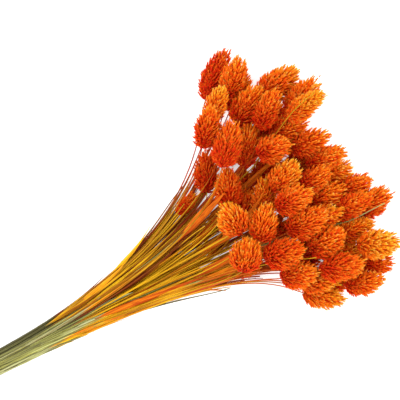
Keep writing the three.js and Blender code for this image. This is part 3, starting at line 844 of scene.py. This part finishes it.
def add_leaf(batch, shape, points, width, tint, dyed_from, rng):
    """A leaf round a stem along some points of its way, its blade standing a little off."""
    along, side, out = outward_frames(points)
    shares = np.linspace(0, 1, len(points))
    stand = np.maximum(shares - SHEATH_SHARE, 0) ** 2 * rng.uniform(*BLADE_STANDS_OFF)
    points = points + out * stand[:, None]
    twist = rng.uniform(-LEAF_TURN, LEAF_TURN) + shares * rng.uniform(-LEAF_TWIST, LEAF_TWIST)
    twist = twist[:, None]
    turned_side = side * np.cos(twist) + out * np.sin(twist)
    turned_out = out * np.cos(twist) - side * np.sin(twist)
    batch.add(
        lay(shape, points, (along, turned_side, turned_out), np.full(len(points), width)), shape[1],
        grain=grain_of(shape[0], points, rng.uniform(*GRAIN_OFFSETS)),
        tint=tint,
        dye_line=dyed_from,
    )


def span_of(way, start, reach):
    """Points along a stretch of a stem's way past the tie."""
    first, last = int(start * len(way["fan"])), int((start + reach) * len(way["fan"]))
    return resampled(way["fan"][first:last], LEAF_STATIONS + 1)


def seen_leaf_way(ways, root, tip):
    """The way of a leaf between two places: along the uppermost stem near both, then off it."""
    def missed(way, place):
        return np.linalg.norm(way["fan"][:, :2] - place[:2], axis=1)

    carrier = min(ways, key=lambda way: missed(way, root).min() + missed(way, tip).min() - way["slot"][1])
    first, last = missed(carrier, root).argmin(), missed(carrier, tip).argmin()
    points = resampled(carrier["fan"][first : last + 1], LEAF_STATIONS + 1)
    off = (tip - points[-1]) * (1, 1, 0)
    return points + off * np.linspace(0, 1, len(points))[:, None] ** 2


def all_leaves(ways, material, rng):
    """Sheaths that wrap the stems, and looser ones that open over their neighbours."""
    tight, loose = model_leaf(TIGHT_LEAF), model_leaf(LOOSE_LEAF)
    batch = Batch()
    for way in ways:
        for kind, shape in ((TIGHT_LEAF, tight), (LOOSE_LEAF, loose)):
            points = span_of(way, rng.uniform(*kind["starts"]), rng.uniform(*kind["reaches"]))
            width = rng.uniform(*kind["widths"])
            tint = straw_tint(way["slot"], rng)
            add_leaf(batch, shape, points, width, tint, dye_line(way["slot"], rng), rng)
    for way in ways:
        if way["bare"] or not LOW_LEAF_SLOTS[0] < way["slot"][0] < LOW_LEAF_SLOTS[1]:
            continue
        for drift in (0, rng.uniform(-LOW_LEAF_DRIFT, LOW_LEAF_DRIFT)):
            points = span_of(way, rng.uniform(*LOW_LEAF["starts"]), LOW_LEAF["reach"])
            points[:, 1] += drift * np.linspace(0, 1, len(points)) ** 2
            points[:, 2] = np.maximum(points[:, 2] - LOW_LEAF_SINKS, STEM_RADIUS)
            tint = rng.uniform(*LOW_LEAF["tints"])
            width = rng.uniform(*LOW_LEAF["widths"])
            add_leaf(batch, loose, points, width, tint, TIE[0] + DYED_FROM_SIDES, rng)
    for leaf in SEEN_LEAVES:
        points = seen_leaf_way(ways, floor_point(leaf["root"]), floor_point(leaf["tip"]))
        add_leaf(batch, loose, points, leaf["width"], leaf["tint"], TIE[0] + leaf["dyed_from"], rng)
    return batch.finish("leaf_sheaths", material)


# The tie

def rubber_band(material):
    """Three turns of a soft band round the pressed stems."""
    start_clean()
    half_width = TIE_HALF_WIDTH + STEM_RADIUS + GAP + BAND_THICKNESS / 2
    half_height = TIE_HALF_HEIGHT + STEM_RADIUS + GAP + BAND_THICKNESS / 2
    turns = []
    for turn in range(BAND_TURNS):
        bpy.ops.mesh.primitive_torus_add(
            major_segments=RING_SEGMENTS, minor_segments=RING_SIDES,
            major_radius=1, minor_radius=RING_HALF, location=(0, 0, 0),
        )
        ring = bpy.context.object
        from_middle = turn - (BAND_TURNS - 1) / 2
        for corner in ring.data.vertices:
            x, y, z = corner.co
            around = math.hypot(x, y)
            outward = (around - 1) / RING_HALF * BAND_THICKNESS / 2
            sideways = z / RING_HALF * BAND_TURN_WIDTH * TURN_HALF_SHARE
            lean = TURN_LEAN * from_middle * x / around
            corner.co = (
                sideways + from_middle * BAND_TURN_WIDTH + lean,
                x / around * (half_width + outward),
                y / around * (half_height + outward),
            )
        turns.append(ring)
    start_clean()
    for ring in turns:
        ring.select_set(True)
    bpy.context.view_layer.objects.active = turns[0]
    bpy.ops.object.join()
    band = bpy.context.object
    band.name = "rubber_tie"
    bpy.ops.object.shade_smooth()
    for corner in band.data.vertices:
        corner.co = (np.array(corner.co) + TIE) * MM
    bpy.ops.object.mode_set(mode="EDIT")
    bpy.ops.mesh.select_all(action="SELECT")
    bpy.ops.mesh.normals_make_consistent(inside=False)
    bpy.ops.object.mode_set(mode="OBJECT")
    band.data.materials.append(material)
    return band


# Materials

class Recipe:
    """A node material being put together."""

    def __init__(self, name, roughness):
        self.material = bpy.data.materials.new(name)
        self.material.use_nodes = True
        self.tree = self.material.node_tree
        self.shader = self.tree.nodes["Principled BSDF"]
        self.shader.inputs["Roughness"].default_value = roughness

    def add(self, kind, inputs=None, **settings):
        node = self.tree.nodes.new("ShaderNode" + kind)
        for name, value in settings.items():
            setattr(node, name, value)
        for name, value in (inputs or {}).items():
            self.feed(value, node.inputs[name])
        return node

    def feed(self, value, socket):
        if isinstance(value, bpy.types.NodeSocket):
            self.tree.links.new(value, socket)
        else:
            socket.default_value = value

    def number(self, name):
        return self.add("Attribute", attribute_name=name).outputs["Fac"]

    def vector(self, name):
        return self.add("Attribute", attribute_name=name).outputs["Vector"]

    def place(self):
        return self.add("TexCoord").outputs["Object"]

    def math(self, operation, first, second=0.0, third=0.0):
        node = self.add("Math", operation=operation)
        for value, socket in zip((first, second, third), node.inputs):
            self.feed(value, socket)
        return node.outputs[0]

    def noise(self, vector, scale, detail=2.0):
        inputs = {"Vector": vector, "Scale": scale, "Detail": detail}
        return self.add("TexNoise", inputs).outputs["Fac"]

    def ramp(self, value, *stops):
        """Colours for a value, each stop a place from 0 to 1 and its colour."""
        node = self.add("ValToRGB", {"Fac": value})
        stretch = node.color_ramp.elements
        while len(stretch) < len(stops):
            stretch.new(0.5)
        for element, (position, colour) in zip(stretch, stops):
            element.position = position
            element.color = (*colour, 1)
        return node.outputs["Color"]

    def mix(self, share, first, second, blend="MIX"):
        node = self.add("Mix", data_type="RGBA", blend_type=blend)
        self.feed(share, node.inputs["Factor"])
        self.feed(first, node.inputs[6])
        self.feed(second, node.inputs[7])
        return node.outputs[2]

    def clamp(self, value):
        """The value, held between 0 and 1."""
        return self.add("Clamp", {"Value": value}).outputs[0]

    def smooth_step(self, value, low, high):
        """0 up to low, 1 from high on, and a smooth rise between."""
        inputs = {"Value": value, "From Min": low, "From Max": high}
        return self.add("MapRange", inputs, interpolation_type="SMOOTHSTEP").outputs[0]

    def bump(self, height, strength, distance):
        inputs = {"Height": height, "Strength": strength, "Distance": distance}
        self.feed(self.add("Bump", inputs).outputs["Normal"], self.shader.inputs["Normal"])

    def colour(self, value):
        self.feed(value, self.shader.inputs["Base Color"])


def dyed_scales():
    """Papery dyed scales: dark red at the roots, painted shade in the gaps between them, orange, and
    yellow at the tips, partly their own paler colour and partly painted highlight.
    """
    paper = Recipe("dyed_scales", 0.85)
    paper.shader.inputs["Specular IOR Level"].default_value = 0.1
    paper.shader.inputs["Subsurface Weight"].default_value = 0.4
    paper.shader.inputs["Subsurface Radius"].default_value = (1.0, 0.25, 0.08)
    paper.shader.inputs["Subsurface Scale"].default_value = LIGHT_DEPTH * MM
    mottle = paper.noise(paper.place(), scale=260, detail=3)
    patches = paper.noise(paper.place(), scale=60)
    along = paper.number("along")
    tone = paper.number("tone")
    # Along each scale the colour runs from dark red at the root, painted shade in the gaps between
    # scales, to a pale tip that is partly the scale's own colour and partly painted highlight.
    reached = paper.math("MULTIPLY_ADD", tone, 0.4, paper.math("MULTIPLY", along, 0.65))
    reached = paper.math("MULTIPLY_ADD", mottle, 0.25, reached)
    reached = paper.math("SUBTRACT", reached, 0.16)
    red = paper.ramp(
        reached,
        (0.0, (0.56, 0.008, 0.0)),
        (0.45, (0.66, 0.016, 0.0)),
        (0.75, (0.71, 0.045, 0.001)),
        (1.0, (0.80, 0.13, 0.005)),
    )
    orange = paper.ramp(
        reached,
        (0.0, (0.76, 0.02, 0.0)),
        (0.45, (0.88, 0.078, 0.001)),
        (0.75, (0.92, 0.175, 0.004)),
        (1.0, (0.95, 0.36, 0.05)),
    )
    yellow = paper.ramp(
        reached,
        (0.0, (0.76, 0.06, 0.001)),
        (0.45, (0.92, 0.205, 0.003)),
        (0.75, (0.96, 0.38, 0.015)),
        (1.0, (1.0, 0.56, 0.12)),
    )
    # The head's dye number, which for heads low in the pile also holds painted shade, moves the colour
    # from red to yellow.
    share = paper.math("MULTIPLY_ADD", paper.number("height"), 1.8, paper.number("dye"))
    share = paper.math("MULTIPLY_ADD", patches, 1.5, share)
    share = paper.math("SUBTRACT", share, 1.65)
    past_red, past_orange = paper.clamp(share), paper.clamp(paper.math("SUBTRACT", share, 1.0))
    paper.colour(paper.mix(past_orange, paper.mix(past_red, red, orange), yellow))
    veins = paper.math("SINE", paper.math("MULTIPLY", paper.number("across"), 22.0))
    paper.bump(paper.math("MULTIPLY_ADD", mottle, 1.0, paper.math("MULTIPLY", veins, 0.3)), 0.25, 0.0004)
    return paper.material


def straw_finish(name, roughness):
    """Dried straw, dyed above a ragged line and grey-green below it, with lengthwise grain, and painted
    shade: dark red further on, where the stems lie under the heads.
    """
    straw = Recipe(name, roughness)
    straw.shader.inputs["Specular IOR Level"].default_value = 0.1
    grain = straw.vector("grain")
    stretch = straw.add("Mapping", {"Vector": grain, "Scale": (1.0, 1.3, 1.3)}).outputs["Vector"]
    streaks = straw.noise(stretch, scale=1.0, detail=5)
    blotches = straw.noise(grain, scale=1.3)
    tint = straw.number("tint")
    shifted = straw.math("MULTIPLY_ADD", blotches, 0.7, -0.85)
    shifted = straw.math("MULTIPLY_ADD", streaks, 1.0, shifted)
    shifted = straw.math("ADD", tint, shifted)
    dyed = straw.ramp(
        shifted,
        (0.0, (0.16, 0.022, 0.001)),
        (0.16, (0.28, 0.09, 0.002)),
        (0.34, (0.54, 0.27, 0.004)),
        (0.55, (0.84, 0.50, 0.01)),
        (0.76, (0.72, 0.21, 0.003)),
        (1.0, (0.40, 0.05, 0.001)),
    )
    plain = straw.ramp(
        shifted,
        (0.0, (0.07, 0.065, 0.02)),
        (0.25, (0.14, 0.14, 0.055)),
        (0.45, (0.36, 0.36, 0.08)),
        (0.6, (0.48, 0.50, 0.24)),
        (0.8, (0.20, 0.18, 0.07)),
        (1.0, (0.26, 0.11, 0.02)),
    )
    place = straw.add("SeparateXYZ", {"Vector": straw.place()}).outputs["X"]
    past = straw.math("SUBTRACT", straw.math("MULTIPLY", place, 1 / MM), straw.number("dye_line"))
    past = straw.math("MULTIPLY_ADD", blotches, DYE_RAGGED, past)
    taken = straw.smooth_step(past, *DYE_COMES_IN)
    # Painted shade: further past the dye line, under the heads, the straw turns to the dark red of the
    # shaded ramp.
    painted_shade_share = straw.smooth_step(past, *PAINTED_SHADE_COMES_IN)
    shaded = straw.ramp(shifted, (0.2, (0.40, 0.03, 0.001)), (0.8, (0.60, 0.12, 0.002)))
    fine = straw.noise(stretch, scale=3.0)
    fibres = straw.ramp(fine, (0.36, (0.48, 0.38, 0.34)), (0.54, (1, 1, 1)))
    skin = straw.mix(taken, plain, straw.mix(painted_shade_share, dyed, shaded))
    straw.colour(straw.mix(1.0, skin, fibres, "MULTIPLY"))
    straw.bump(streaks, 0.5, 0.0004)
    return straw.material


def rubber():
    """Plain natural rubber, matt, with fine wear."""
    soft = Recipe("natural_rubber", 0.6)
    wear = soft.noise(soft.place(), scale=900, detail=4)
    soft.colour(soft.ramp(wear, (0.3, (0.42, 0.29, 0.16)), (0.7, (0.56, 0.41, 0.24))))
    soft.bump(wear, 0.2, 0.0002)
    return soft.material


def pale_floor_finish():
    """The pale matt floor."""
    pale = Recipe("pale_floor", 0.9)
    pale.shader.inputs["Emission Color"].default_value = (1, 1, 1, 1)
    pale.shader.inputs["Emission Strength"].default_value = 0.5
    mottle = pale.noise(pale.place(), scale=3)
    pale.colour(pale.ramp(mottle, (0.3, (0.68, 0.68, 0.68)), (0.7, (0.70, 0.70, 0.70))))
    return pale.material


# Stage

def lay_floor():
    """The floor that the bunch lies on."""
    start_clean()
    bpy.ops.mesh.primitive_circle_add(
        vertices=96, radius=FLOOR_RADIUS * MM, fill_type="NGON", location=(0, 0, 0)
    )
    floor = bpy.context.object
    floor.name = "floor"
    floor.data.materials.append(pale_floor_finish())


def hang_light(name, place, size, power):
    """A soft square light that faces the bunch."""
    data = bpy.data.lights.new(name, "AREA")
    data.size = size
    data.energy = power
    light = bpy.data.objects.new(name, data)
    light.location = place
    light.rotation_euler = (-light.location).to_track_quat("-Z", "Y").to_euler()
    light.visible_camera = False
    bpy.context.scene.collection.objects.link(light)


def light_studio():
    """Even light from all round, and two soft lights."""
    world = bpy.data.worlds.new("studio")
    world.use_nodes = True
    world.node_tree.nodes["Background"].inputs["Color"].default_value = (1, 1, 1, 1)
    world.node_tree.nodes["Background"].inputs["Strength"].default_value = 1.6
    bpy.context.scene.world = world
    hang_light("key", place=(-0.3, 0.6, 1.7), size=1.0, power=11)
    hang_light("fill", place=(0.9, -0.8, 1.2), size=1.2, power=8)
    bpy.context.scene.view_settings.view_transform = "Standard"


def set_camera():
    """The camera, which looks straight down so that the picture's scale holds at MEAN_HEIGHT."""
    data = bpy.data.cameras.new("camera")
    data.lens = 180
    data.sensor_width = 36
    data.clip_end = 50
    camera = bpy.data.objects.new("camera", data)
    distance = PICTURE_PIXELS * MM_PER_PIXEL * data.lens / data.sensor_width
    camera.location = floor_point(PICTURE_MIDDLE, MEAN_HEIGHT + distance) * MM
    camera.rotation_euler = (0, 0, -STEMS_LEAN)
    bpy.context.scene.collection.objects.link(camera)
    bpy.context.scene.camera = camera


def build_bunch():
    """Every piece of the bunch, joined to the frame."""
    rng = random.Random(SEED)
    nodes = sorted(name for name in frame["nodes"] if name.startswith("head_"))
    heads = [read_head(node) for node in nodes]
    scales = dyed_scales()
    spikelet = model_spikelet()
    for head in heads:
        place(seed_head(head, spikelet, scales, rng), "seed_heads", head["node"])
    ways = stem_ways(heads)
    straw = straw_finish("golden_straw", 0.55)
    leaf = straw_finish("dry_leaf", 0.7)
    place(all_straws(ways, straw, rng), "straw", "stems")
    place(all_leaves(ways, leaf, rng), "straw", "stems")
    place(rubber_band(rubber()), "band", "band")


build_bunch()
lay_floor()
light_studio()
set_camera()
